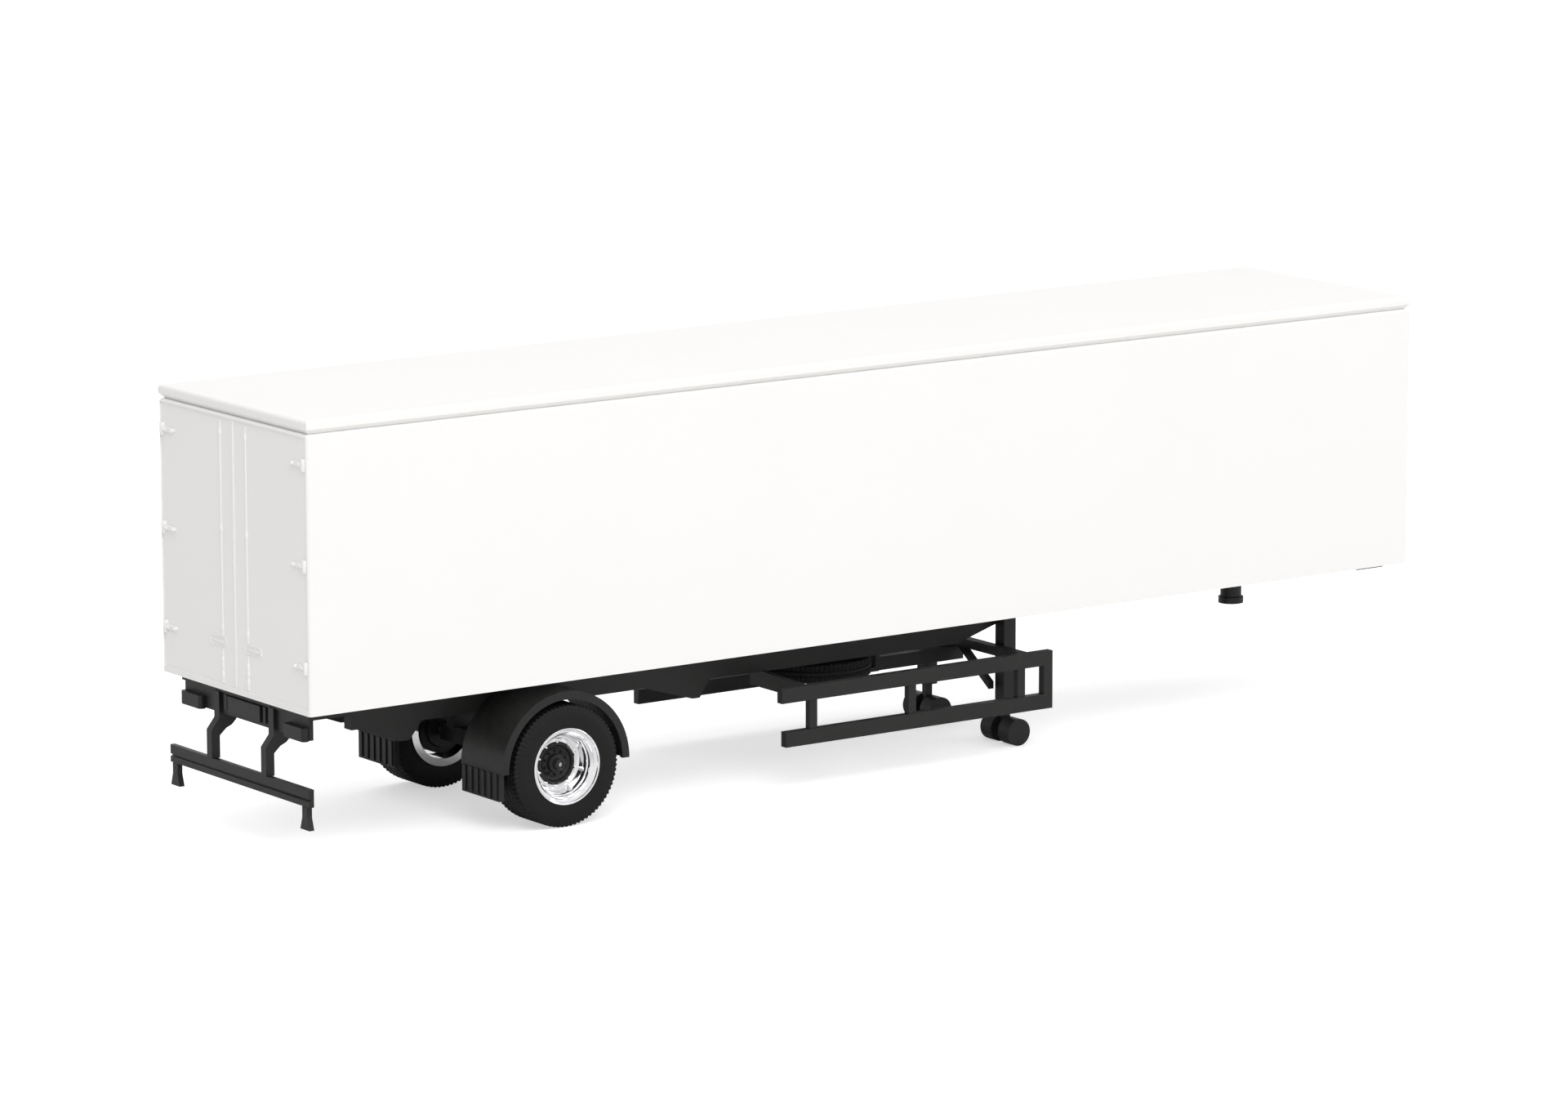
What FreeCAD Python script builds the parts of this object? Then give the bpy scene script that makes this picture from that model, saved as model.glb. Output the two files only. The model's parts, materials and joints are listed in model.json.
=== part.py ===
import FreeCAD, Part
import math
import os

# 1:87 scale model of a single-axle box semi-trailer, in millimetres.
# Lengths along the trailer are measured forward from the rear face, widths from the
# centre line (left is positive) and heights from the ground. When a piece is saved it is
# moved back by half the body's length, so the origin is on the ground under the middle.

# --- box body ---
BODY_LENGTH = 145.2
BODY_WIDTH = 29.3
BODY_HEIGHT = 28.92        # side wall, from the floor's underside to the lid
FLOOR_HEIGHT = 15.6       # ground to the floor's underside
WALL = 1.2
FLOOR_THICKNESS = 1.2
CORNER_ROUND = 0.35
LID_HEIGHT = 1.43
LID_GROOVE = 0.55          # bevel round the lid's lower edge
WALL_BEVEL = 0.25          # bevel along the wall tops, below the lid
LID_PLUG_DEPTH = 1.0       # rib under the lid that drops into the body
LID_PLUG_WIDTH = 1.0
LID_PLUG_GAP = 0.12
# --- rear doors ---
DOOR_THICKNESS = 1.0
DOOR_RECESS = 0.15
DOOR_RIM = 0.3             # edge of the walls that stays round the doors
DOOR_SILL = 0.65
DOOR_SEAM = 0.12           # between the two doors
# --- chassis frame ---
BEAM_OUTER_Y = 6.4
BEAM_WIDTH = 1.4
TAIL_DEPTH = 2.4           # beam behind the tail seam
TAIL_SEAM_X = 10.0
BEAM_DEPTH = 4.0
MID_SEAM_X = 61.6
NECK_START_X = 88.0        # the beam starts to rise to the gooseneck
NECK_X = 96.5
NECK_DEPTH = 1.4
FRAME_FRONT_X = 141.0
CROSSMEMBER_DEPTH = 1.3
CROSSMEMBER_LENGTH = 1.6
CROSSMEMBER_X = (19.0, 42.0, 56.0, 65.2, 79.9, 101.0)
PAD_X = (109.8, 128.2)     # skid pads under the gooseneck
PAD_LENGTH = 2.9
PAD_DROP = 0.6
# --- coupling ---
PLATE_X = (114.0, 141.0)
PLATE_THICKNESS = 0.8
KINGPIN_X = 131.6
KINGPIN_R = 1.2
KINGPIN_HEAD_R = 1.43
KINGPIN_LENGTH = 5.3       # floor underside to the head's bottom
KINGPIN_HEAD = 0.7
FRONT_BAR_LENGTH = 3.7
FRONT_BAR_HALF_WIDTH = 12.0
FRONT_BAR_DEPTH = 1.0
FRONT_BAR_INSET = 0.4
# --- rear crossmember, lamps and underride bar ---
REAR_X = 1.3               # rear face of the crossmember's web
WEB_THICKNESS = 0.5
WEB_HALF_WIDTH = 12.3
WEB_DEPTH = 3.0
FLANGE_THICKNESS = 0.7
FLANGE_HALF_WIDTH = 12.6
FLANGE_REAR_X = 1.1
LAMP_Y = (8.2, 12.2)
LAMP_DEPTH = (1.7, 3.1)
LAMP_PROUD = 0.7
NUMBER_PANEL_HALF_WIDTH = 3.2
NUMBER_PANEL_DEPTH = (0.9, 2.6)
NUMBER_PANEL_PROUD = 0.35
PANEL_LUG_Y = (3.6, 4.1)
PANEL_LUG_PROUD = 0.2
BRACKET_Y = 5.4
BRACKET_WIDTH = 1.0
BRACKET_LENGTH = 1.0
BAR_REAR_X = 0.25
BAR_THICKNESS = 0.6
BAR_DEPTH = (7.7, 9.6)
ELBOW_DEPTH = 4.7
STRIP_THICKNESS = 0.35     # top of the bracket, on the web's rear face
BAR_HALF_WIDTH = 13.85
GUSSET_LENGTH = 2.6
GUSSET_THICKNESS = 0.6
ARM_Y = 12.9
ARM_WIDTH = 0.95
ARM_FOOT_WIDTH = 1.75
ARM_FOOT_DROP = 1.3
ARM_DEPTH = 12.0
ARM_THICKNESS = 0.6
# --- main axle and wheels ---
AXLE_X = 31.3
AXLE_R = 0.5
AXLE_CLEARANCE = 0.05
AXLE_HALF_LENGTH = 13.2
TYRE_R = 6.5
TYRE_OUTER_Y = 14.45
TYRE_WIDTH = 5.2
TYRE_ROUND = 0.45
RIM_SEAT_R = 3.85
RIM_LIP_R = 4.1
RIM_LIP = 0.3
DISH_R = 3.55
DISH_DEPTH = 1.9
BACK_LIP_R = 3.3
DISC_THICKNESS = 0.6
HUB_R = 1.9
HUB_CAP_R = 0.95
HUB_CAP_LENGTH = 0.95
DRUM_R = 2.5
DRUM_LENGTH = 2.2
HOUSING_HALF_LENGTH = 8.6
HOUSING_SIZE = 1.8
# --- suspension ---
HANGER_X = (10.7, 18.6)
HANGER_FOOT_X = (15.8, 17.1)
HANGER_DROP = 5.86
FRONT_HANGER_X = (46.6, 55.0)
FRONT_HANGER_FOOT_X = (52.75, 53.7)
FRONT_HANGER_DROP = 5.86
# --- mudguards ---
GUARD_R = 7.95
GUARD_THICKNESS = 0.5
GUARD_Y = (6.45, 14.3)
GUARD_RIM = 0.35           # thicker outer edge
GUARD_RIM_WIDTH = 0.5
FLAP_DEPTH = 12.0
FLAP_THICKNESS = 0.6
FLAP_Y = (6.6, 13.7)
FLAP_RIBS = 6
# --- side guards ---
RAIL_OUTER_Y = 14.4
RAIL_THICKNESS = 0.9
UPPER_RAIL = (4.25, 5.85)
LOWER_RAIL = (9.0, 10.65)
UPPER_RAIL_REAR_X = 58.8
LOWER_RAIL_REAR_X = 59.3
RAIL_FRONT_X = 95.0
END_POST_LENGTH = 1.2
POST_X = (62.5, 75.6, 90.35)
POST_LENGTH = 1.0
POST_INSET = 0.15
# --- landing gear ---
LEG_X = 94.0
LEG_SIZE = 1.6
LEG_TUBE_DEPTH = 11.4
LEG_INNER_SIZE = 0.8
LEG_FLANGE_LENGTH = 3.0
LEG_FLANGE_THICKNESS = 0.4
SHOE_R = 1.5
SHOE_WIDTH = 1.9
SHOE_GAP = 0.25
CROSSBAR_DEPTH = (4.6, 5.6)
CROSSBAR_LENGTH = 1.1
BRACE_THICKNESS = 0.7
BRACE_FOOT_DEPTH = 9.6
# --- spare wheel ---
SPARE_X = 73.0
SPARE_WIDTH = 2.4
SPARE_TOP_DEPTH = 4.2
CARRIER_X = (65.6, 81.2)
CARRIER_HALF_WIDTH = 1.2
CARRIER_THICKNESS = 0.5
STAY_HALF_WIDTH = 0.55
OUTRIGGER_THICKNESS = 0.7
OUTRIGGER_X = 61.9
OUTRIGGER_DEPTH = 5.8
OUTRIGGER_TOE_Y = 2.2       # where its sloping lower edge meets the beam's height
STAY_DEPTH = (5.7, 7.2)

HALF_WIDTH = BODY_WIDTH / 2
BODY_TOP = FLOOR_HEIGHT + BODY_HEIGHT
AXLE_Z = TYRE_R
BEAM_INNER_Y = BEAM_OUTER_Y - BEAM_WIDTH
RAIL_INNER_Y = RAIL_OUTER_Y - RAIL_THICKNESS
LEG_Y = BEAM_OUTER_Y + LEG_SIZE / 2
CROSSBAR_X = LEG_X - LEG_SIZE / 2 - CROSSBAR_LENGTH
SIDES = (("left", 1), ("right", -1))


def below(depth):
    """Height of a point that lies depth below the floor's underside."""
    return FLOOR_HEIGHT - depth


def block(x0, x1, y0, y1, z0, z1):
    corner = FreeCAD.Vector(min(x0, x1), min(y0, y1), min(z0, z1))
    return Part.makeBox(abs(x1 - x0), abs(y1 - y0), abs(z1 - z0), corner)


def rod_y(radius, y0, y1, x, z):
    start = FreeCAD.Vector(x, min(y0, y1), z)
    return Part.makeCylinder(radius, abs(y1 - y0), start, FreeCAD.Vector(0, 1, 0))


def rod_z(radius, z0, z1, x, y=0.0):
    start = FreeCAD.Vector(x, y, min(z0, z1))
    return Part.makeCylinder(radius, abs(z1 - z0), start, FreeCAD.Vector(0, 0, 1))


def side_plate(points, y0, y1):
    """Plate of an outline given as (x, z), from y0 to y1."""
    low = min(y0, y1)
    corners = [FreeCAD.Vector(x, low, z) for x, z in points]
    face = Part.Face(Part.makePolygon(corners + corners[:1]))
    return face.extrude(FreeCAD.Vector(0, abs(y1 - y0), 0))


def end_plate(points, x0, x1):
    """Plate of an outline given as (y, z), from x0 to x1."""
    corners = [FreeCAD.Vector(x0, y, z) for y, z in points]
    face = Part.Face(Part.makePolygon(corners + corners[:1]))
    return face.extrude(FreeCAD.Vector(x1 - x0, 0, 0))


def turned_y(points, x, z):
    """Solid turned about a line along Y through (x, z), from an outline of (radius, y)."""
    corners = [FreeCAD.Vector(x + r, y, z) for r, y in points]
    face = Part.Face(Part.makePolygon(corners + corners[:1]))
    return face.revolve(FreeCAD.Vector(x, 0, z), FreeCAD.Vector(0, 1, 0), 360)


def on_side(shape, side):
    """The piece as drawn for the left side, or mirrored to the right."""
    if side > 0:
        return shape
    return shape.mirror(FreeCAD.Vector(0, 0, 0), FreeCAD.Vector(0, 1, 0))


def edges_where(shape, test):
    return [edge for edge in shape.Edges if test(edge.BoundBox)]


def save(node, shape):
    shape = shape.removeSplitter() if shape.ShapeType != "Compound" else shape
    moved = shape.translated(FreeCAD.Vector(-BODY_LENGTH / 2, 0, 0))
    moved.exportStep("parts/" + node + ".step")
    print(node, len(moved.Solids), round(moved.Volume, 3), moved.isValid())


# --- box body ---

def side_wall():
    wall = block(0, BODY_LENGTH, HALF_WIDTH - WALL, HALF_WIDTH, FLOOR_HEIGHT, BODY_TOP)
    upright = edges_where(wall, lambda b: b.ZLength > WALL and b.YMin > HALF_WIDTH - 0.01)
    wall = wall.makeFillet(CORNER_ROUND, upright)
    top = [edge for edge in wall.Edges
           if edge.BoundBox.ZMin > BODY_TOP - 0.01 and edge.BoundBox.YMax > HALF_WIDTH - CORNER_ROUND
           and edge.BoundBox.YMin > HALF_WIDTH - CORNER_ROUND - 0.01]
    wall = wall.makeChamfer(WALL_BEVEL, top)
    rebate = block(0, DOOR_THICKNESS, HALF_WIDTH - WALL, HALF_WIDTH - DOOR_RIM,
                   FLOOR_HEIGHT + DOOR_SILL, BODY_TOP - DOOR_RIM)
    return wall.cut(rebate)


def front_wall():
    inner = HALF_WIDTH - WALL
    wall = block(BODY_LENGTH - WALL, BODY_LENGTH, -inner, inner, FLOOR_HEIGHT, BODY_TOP)
    top = edges_where(wall, lambda b: b.ZMin > BODY_TOP - 0.01 and b.XMin > BODY_LENGTH - 0.01)
    return wall.makeChamfer(WALL_BEVEL, top)


def floor():
    inner = HALF_WIDTH - WALL
    top = FLOOR_HEIGHT + FLOOR_THICKNESS
    panel = block(0, BODY_LENGTH - WALL, -inner, inner, FLOOR_HEIGHT, top)
    return panel.cut(block(0, DOOR_THICKNESS, -inner, inner, FLOOR_HEIGHT + DOOR_SILL, top))


def door_header():
    inner = HALF_WIDTH - WALL
    bar = block(0, DOOR_THICKNESS, -inner, inner, BODY_TOP - DOOR_RIM, BODY_TOP)
    top = edges_where(bar, lambda b: b.ZMin > BODY_TOP - 0.01 and b.XMax < 0.01)
    return bar.makeChamfer(min(WALL_BEVEL, 0.6 * DOOR_RIM), top)


def rear_door():
    return block(DOOR_RECESS, DOOR_THICKNESS, DOOR_SEAM / 2, HALF_WIDTH - DOOR_RIM,
                 FLOOR_HEIGHT + DOOR_SILL, BODY_TOP - DOOR_RIM)


def roof_lid():
    top = BODY_TOP + LID_HEIGHT
    lid = block(0, BODY_LENGTH, -HALF_WIDTH, HALF_WIDTH, BODY_TOP, top)
    lower = edges_where(lid, lambda b: b.ZMax < BODY_TOP + 0.01)
    lid = lid.makeChamfer(LID_GROOVE, lower)
    upper = edges_where(lid, lambda b: b.ZMin > top - 0.01)
    lid = lid.makeFillet(CORNER_ROUND, upper)
    inset = WALL + LID_PLUG_GAP
    outer = block(inset, BODY_LENGTH - inset, -HALF_WIDTH + inset, HALF_WIDTH - inset,
                  BODY_TOP - LID_PLUG_DEPTH, BODY_TOP)
    step = inset + LID_PLUG_WIDTH
    inner = block(step, BODY_LENGTH - step, -HALF_WIDTH + step, HALF_WIDTH - step,
                  BODY_TOP - LID_PLUG_DEPTH, BODY_TOP)
    return lid.fuse(outer.cut(inner))


# --- chassis ---

def rear_beam():
    tail_x = REAR_X + WEB_THICKNESS
    outline = [(tail_x, FLOOR_HEIGHT), (tail_x, below(TAIL_DEPTH)), (TAIL_SEAM_X, below(TAIL_DEPTH)),
               (TAIL_SEAM_X, below(BEAM_DEPTH)), (MID_SEAM_X, below(BEAM_DEPTH)), (MID_SEAM_X, FLOOR_HEIGHT)]
    return side_plate(outline, BEAM_INNER_Y, BEAM_OUTER_Y)


def front_beam():
    outline = [(MID_SEAM_X, FLOOR_HEIGHT), (MID_SEAM_X, below(BEAM_DEPTH)),
               (NECK_START_X, below(BEAM_DEPTH)), (NECK_X, below(NECK_DEPTH)),
               (FRAME_FRONT_X, below(NECK_DEPTH)), (FRAME_FRONT_X, FLOOR_HEIGHT)]
    beam = side_plate(outline, BEAM_INNER_Y, BEAM_OUTER_Y)
    for x in PAD_X:
        pad = block(x, x + PAD_LENGTH, BEAM_INNER_Y, BEAM_OUTER_Y, below(NECK_DEPTH + PAD_DROP),
                    below(NECK_DEPTH))
        beam = beam.fuse(pad)
    return beam


def crossmembers():
    bars = [block(x, x + CROSSMEMBER_LENGTH, -BEAM_INNER_Y, BEAM_INNER_Y,
                  below(CROSSMEMBER_DEPTH), FLOOR_HEIGHT) for x in CROSSMEMBER_X]
    return Part.makeCompound(bars)


def front_crossmember():
    rear = FRAME_FRONT_X
    front = min(rear + FRONT_BAR_LENGTH, BODY_LENGTH - FRONT_BAR_INSET)
    slope = FRONT_BAR_DEPTH
    outline = [(-FRONT_BAR_HALF_WIDTH, FLOOR_HEIGHT), (-FRONT_BAR_HALF_WIDTH + slope, below(FRONT_BAR_DEPTH)),
               (FRONT_BAR_HALF_WIDTH - slope, below(FRONT_BAR_DEPTH)), (FRONT_BAR_HALF_WIDTH, FLOOR_HEIGHT)]
    return end_plate(outline, rear, front)


def coupling_plate():
    plate = block(PLATE_X[0], PLATE_X[1], -BEAM_INNER_Y, BEAM_INNER_Y,
                  below(PLATE_THICKNESS), FLOOR_HEIGHT)
    return plate.cut(rod_z(KINGPIN_R, below(PLATE_THICKNESS), FLOOR_HEIGHT, KINGPIN_X))


def kingpin():
    head_top = KINGPIN_LENGTH - KINGPIN_HEAD
    neck = rod_z(KINGPIN_R, below(head_top), FLOOR_HEIGHT, KINGPIN_X)
    head = rod_z(KINGPIN_HEAD_R, below(KINGPIN_LENGTH), below(head_top), KINGPIN_X)
    return neck.fuse(head)


# --- rear end ---

def rear_crossmember():
    web = block(REAR_X, REAR_X + WEB_THICKNESS, -WEB_HALF_WIDTH, WEB_HALF_WIDTH,
                below(WEB_DEPTH), below(FLANGE_THICKNESS))
    flange = block(FLANGE_REAR_X, REAR_X + WEB_THICKNESS, -FLANGE_HALF_WIDTH, FLANGE_HALF_WIDTH,
                   below(FLANGE_THICKNESS), FLOOR_HEIGHT)
    return web.fuse(flange)


def tail_light():
    lamp = block(REAR_X - LAMP_PROUD, REAR_X, LAMP_Y[0], LAMP_Y[1], below(LAMP_DEPTH[1]), below(LAMP_DEPTH[0]))
    outer = edges_where(lamp, lambda b: b.XMax < REAR_X - LAMP_PROUD + 0.01 and b.ZLength > 0.1)
    return lamp.makeFillet(min(0.4, 0.8 * LAMP_PROUD), outer)


def number_panel():
    low, high = below(NUMBER_PANEL_DEPTH[1]), below(NUMBER_PANEL_DEPTH[0])
    panel = block(REAR_X - NUMBER_PANEL_PROUD, REAR_X, -NUMBER_PANEL_HALF_WIDTH, NUMBER_PANEL_HALF_WIDTH, low, high)
    lugs = [block(REAR_X - PANEL_LUG_PROUD, REAR_X, side * PANEL_LUG_Y[0], side * PANEL_LUG_Y[1], low, high)
            for _, side in SIDES]
    return Part.makeCompound([panel] + lugs)


def underride_bracket():
    """Bracket that hangs from the crossmember and stands on the bar, with its gusset."""
    half = BRACKET_WIDTH / 2
    web_front = REAR_X + WEB_THICKNESS
    strip_rear = REAR_X - STRIP_THICKNESS
    post = [(0, below(BAR_DEPTH[0])), (0, below(ELBOW_DEPTH)), (strip_rear, below(WEB_DEPTH + 0.5)),
            (strip_rear, below(FLANGE_THICKNESS)), (REAR_X, below(FLANGE_THICKNESS)), (REAR_X, below(WEB_DEPTH)),
            (web_front, below(WEB_DEPTH)), (BRACKET_LENGTH, below(ELBOW_DEPTH + 0.3)),
            (BRACKET_LENGTH, below(BAR_DEPTH[0]))]
    leg = side_plate(post, BRACKET_Y - half, BRACKET_Y + half)
    front = BRACKET_LENGTH + GUSSET_LENGTH
    plate = [(web_front, below(WEB_DEPTH)), (web_front, below(TAIL_DEPTH)), (front, below(TAIL_DEPTH)),
             (front, below(WEB_DEPTH)), (front - 0.5, below(WEB_DEPTH + 0.9)), (front - 1.0, below(ELBOW_DEPTH - 0.3)),
             (front - 1.7, below(ELBOW_DEPTH)), (BRACKET_LENGTH, below(ELBOW_DEPTH + 0.8)),
             (BRACKET_LENGTH / 2, below(ELBOW_DEPTH + 0.8)), (BRACKET_LENGTH / 2, below(ELBOW_DEPTH - 0.3))]
    gusset = side_plate(plate, BRACKET_Y - GUSSET_THICKNESS / 2, BRACKET_Y + GUSSET_THICKNESS / 2)
    return leg.fuse(gusset)


def underride_bar():
    return block(BAR_REAR_X, BAR_REAR_X + BAR_THICKNESS, -BAR_HALF_WIDTH, BAR_HALF_WIDTH,
                 below(BAR_DEPTH[1]), below(BAR_DEPTH[0]))


def marker_arm():
    top = below(BAR_DEPTH[1])
    foot = below(ARM_DEPTH)
    half = ARM_WIDTH / 2
    wide = ARM_FOOT_WIDTH / 2
    outline = [(ARM_Y - half, top), (ARM_Y - half, foot + ARM_FOOT_DROP), (ARM_Y - wide, foot),
               (ARM_Y + wide, foot), (ARM_Y + half, foot + ARM_FOOT_DROP), (ARM_Y + half, top)]
    return end_plate(outline, BAR_REAR_X, BAR_REAR_X + ARM_THICKNESS)


# --- axle, wheels and suspension ---

def axle():
    return rod_y(AXLE_R, -AXLE_HALF_LENGTH, AXLE_HALF_LENGTH, AXLE_X, AXLE_Z)


def tyre():
    outer = TYRE_OUTER_Y
    inner = TYRE_OUTER_Y - TYRE_WIDTH
    ring = rod_y(TYRE_R, inner, outer, AXLE_X, AXLE_Z)
    ring = ring.makeFillet(TYRE_ROUND, edges_where(ring, lambda b: b.YLength < 0.01))
    return ring.cut(rod_y(RIM_SEAT_R, inner, outer, AXLE_X, AXLE_Z))


def rim():
    outer = TYRE_OUTER_Y
    inner = outer - TYRE_WIDTH
    dish = outer - DISH_DEPTH
    outline = [(RIM_SEAT_R, inner), (RIM_SEAT_R, outer), (RIM_LIP_R, outer), (RIM_LIP_R - 0.1, outer + 0.15),
               (DISH_R + 0.15, outer + 0.15), (DISH_R, outer - RIM_LIP), (DISH_R - 0.35, dish), (HUB_R, dish),
               (HUB_R, dish - DISC_THICKNESS), (DISH_R - 0.35, dish - DISC_THICKNESS), (BACK_LIP_R, inner + 0.3),
               (BACK_LIP_R, inner - 0.1), (RIM_LIP_R, inner - 0.1), (RIM_LIP_R, inner)]
    return turned_y(outline, AXLE_X, AXLE_Z)


def hub():
    dish = TYRE_OUTER_Y - DISH_DEPTH
    back = dish - DISC_THICKNESS
    cap_front = dish + HUB_CAP_LENGTH
    outline = [(0, cap_front), (HUB_CAP_R - 0.2, cap_front), (HUB_CAP_R, cap_front - 0.2), (HUB_CAP_R, dish - 0.1),
               (HUB_R, dish - 0.1), (HUB_R, back), (DRUM_R, back), (DRUM_R, back - DRUM_LENGTH),
               (AXLE_R, back - DRUM_LENGTH), (AXLE_R, AXLE_HALF_LENGTH), (0, AXLE_HALF_LENGTH)]
    return turned_y(outline, AXLE_X, AXLE_Z)


def axle_housing():
    half = HOUSING_SIZE / 2
    beam = block(AXLE_X - half, AXLE_X + half, -HOUSING_HALF_LENGTH, HOUSING_HALF_LENGTH, AXLE_Z - half, AXLE_Z + half)
    bore = rod_y(AXLE_R + AXLE_CLEARANCE, -HOUSING_HALF_LENGTH, HOUSING_HALF_LENGTH, AXLE_X, AXLE_Z)
    return beam.cut(bore)


def rear_hanger():
    outline = [(HANGER_X[0], below(BEAM_DEPTH)), (HANGER_FOOT_X[0], below(HANGER_DROP)),
               (HANGER_FOOT_X[1], below(HANGER_DROP)), (HANGER_X[1], below(BEAM_DEPTH))]
    return side_plate(outline, BEAM_INNER_Y, BEAM_OUTER_Y)


def front_hanger():
    outline = [(FRONT_HANGER_X[0], below(BEAM_DEPTH)), (FRONT_HANGER_FOOT_X[0], below(FRONT_HANGER_DROP)),
               (FRONT_HANGER_FOOT_X[1], below(FRONT_HANGER_DROP)), (FRONT_HANGER_X[1], below(BEAM_DEPTH))]
    return side_plate(outline, BEAM_INNER_Y, BEAM_OUTER_Y)


def axle_seat():
    """Block that joins the axle housing to the beam above it."""
    half = HOUSING_SIZE / 2
    return block(AXLE_X - 1.6 * half, AXLE_X + 1.6 * half, BEAM_INNER_Y, BEAM_OUTER_Y,
                 AXLE_Z + half, below(BEAM_DEPTH))


# --- mudguards ---

def mudguard():
    ring = rod_y(GUARD_R, GUARD_Y[0], GUARD_Y[1], AXLE_X, AXLE_Z)
    ring = ring.cut(rod_y(GUARD_R - GUARD_THICKNESS, GUARD_Y[0], GUARD_Y[1], AXLE_X, AXLE_Z))
    edge = rod_y(GUARD_R, GUARD_Y[1] - GUARD_RIM_WIDTH, GUARD_Y[1], AXLE_X, AXLE_Z)
    inside = GUARD_R - GUARD_THICKNESS - GUARD_RIM
    edge = edge.cut(rod_y(inside, GUARD_Y[1] - GUARD_RIM_WIDTH, GUARD_Y[1], AXLE_X, AXLE_Z))
    reach = GUARD_R + 1
    lower = block(AXLE_X - reach, AXLE_X + reach, GUARD_Y[0], GUARD_Y[1], AXLE_Z - reach, AXLE_Z)
    return ring.fuse(edge).cut(lower)


def mudflap():
    front = AXLE_X - GUARD_R + FLAP_THICKNESS
    plate = block(front - FLAP_THICKNESS, front, FLAP_Y[0], FLAP_Y[1], below(FLAP_DEPTH), AXLE_Z)
    pitch = (FLAP_Y[1] - FLAP_Y[0]) / FLAP_RIBS
    for index in range(FLAP_RIBS):
        y = FLAP_Y[0] + (index + 0.25) * pitch
        rib = block(front - FLAP_THICKNESS - 0.15, front - FLAP_THICKNESS, y, y + 0.5 * pitch,
                    below(FLAP_DEPTH) + 0.2, AXLE_Z)
        plate = plate.fuse(rib)
    return plate


# --- side guards ---

def side_guard():
    """Two rails with their posts; the front post closes the frame."""
    low, high = below(LOWER_RAIL[1]), below(UPPER_RAIL[0])
    upper = block(UPPER_RAIL_REAR_X, RAIL_FRONT_X, RAIL_INNER_Y, RAIL_OUTER_Y, below(UPPER_RAIL[1]), high)
    lower = block(LOWER_RAIL_REAR_X, RAIL_FRONT_X, RAIL_INNER_Y, RAIL_OUTER_Y, low, below(LOWER_RAIL[0]))
    end = block(RAIL_FRONT_X - END_POST_LENGTH, RAIL_FRONT_X, RAIL_INNER_Y, RAIL_OUTER_Y, low, high)
    guard = upper.fuse(lower).fuse(end)
    for x in POST_X:
        post = block(x, x + POST_LENGTH, RAIL_INNER_Y, RAIL_OUTER_Y - POST_INSET, below(LOWER_RAIL[0]), below(UPPER_RAIL[1]))
        guard = guard.fuse(post)
    return guard


def outrigger():
    """Plate from the beam out to the side guard's upper rail."""
    outline = [(OUTRIGGER_TOE_Y, below(BEAM_DEPTH)), (BEAM_OUTER_Y - 0.5, below(OUTRIGGER_DEPTH)),
               (RAIL_INNER_Y, below(OUTRIGGER_DEPTH)), (RAIL_INNER_Y, below(UPPER_RAIL[0] + 0.05)),
               (BEAM_OUTER_Y, below(BEAM_DEPTH))]
    return end_plate(outline, OUTRIGGER_X, OUTRIGGER_X + OUTRIGGER_THICKNESS)


# --- landing gear ---

def landing_leg():
    half = LEG_SIZE / 2
    tube = block(LEG_X - half, LEG_X + half, LEG_Y - half, LEG_Y + half, below(LEG_TUBE_DEPTH), FLOOR_HEIGHT)
    small = LEG_INNER_SIZE / 2
    foot = block(LEG_X - small, LEG_X + small, LEG_Y - small, LEG_Y + small, SHOE_R, below(LEG_TUBE_DEPTH))
    return tube.fuse(foot)


def landing_wheels():
    """Twin wheels of one leg with the short axle that carries them."""
    gap = LEG_INNER_SIZE / 2 + SHOE_GAP
    pin_r = 0.45
    outer = rod_y(SHOE_R, LEG_Y + gap, LEG_Y + gap + SHOE_WIDTH, LEG_X, SHOE_R)
    inner = rod_y(SHOE_R, LEG_Y - gap - SHOE_WIDTH, LEG_Y - gap, LEG_X, SHOE_R)
    outer_pin = rod_y(pin_r, LEG_Y + LEG_INNER_SIZE / 2, LEG_Y + gap, LEG_X, SHOE_R)
    inner_pin = rod_y(pin_r, LEG_Y - gap, LEG_Y - LEG_INNER_SIZE / 2, LEG_X, SHOE_R)
    return Part.makeCompound([outer.fuse(outer_pin), inner.fuse(inner_pin)])


def landing_crossbar():
    return block(CROSSBAR_X, CROSSBAR_X + CROSSBAR_LENGTH, -RAIL_INNER_Y, RAIL_INNER_Y,
                 below(CROSSBAR_DEPTH[1]), below(CROSSBAR_DEPTH[0]))


def landing_brace():
    """Diagonal from the middle of the crossbar down to the leg."""
    inner = LEG_Y - LEG_SIZE / 2
    half = BRACE_THICKNESS / 2
    top = below(CROSSBAR_DEPTH[1])
    foot = below(BRACE_FOOT_DEPTH)
    outline = [(STAY_HALF_WIDTH, top), (STAY_HALF_WIDTH + 1.2, top), (inner, foot + 0.8), (inner, foot)]
    middle = CROSSBAR_X + CROSSBAR_LENGTH / 2
    return end_plate(outline, middle - half, middle + half)


# --- spare wheel ---

def spare_wheel():
    top = below(SPARE_TOP_DEPTH)
    tyre_ring = rod_z(TYRE_R, top - SPARE_WIDTH, top, SPARE_X)
    tyre_ring = tyre_ring.makeFillet(0.8, edges_where(tyre_ring, lambda b: b.ZLength < 0.01))
    tyre_ring = tyre_ring.cut(rod_z(RIM_SEAT_R, top - SPARE_WIDTH, top, SPARE_X))
    disc = rod_z(RIM_SEAT_R, top - SPARE_WIDTH + 0.6, top - 0.8, SPARE_X)
    return tyre_ring.fuse(disc)


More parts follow.
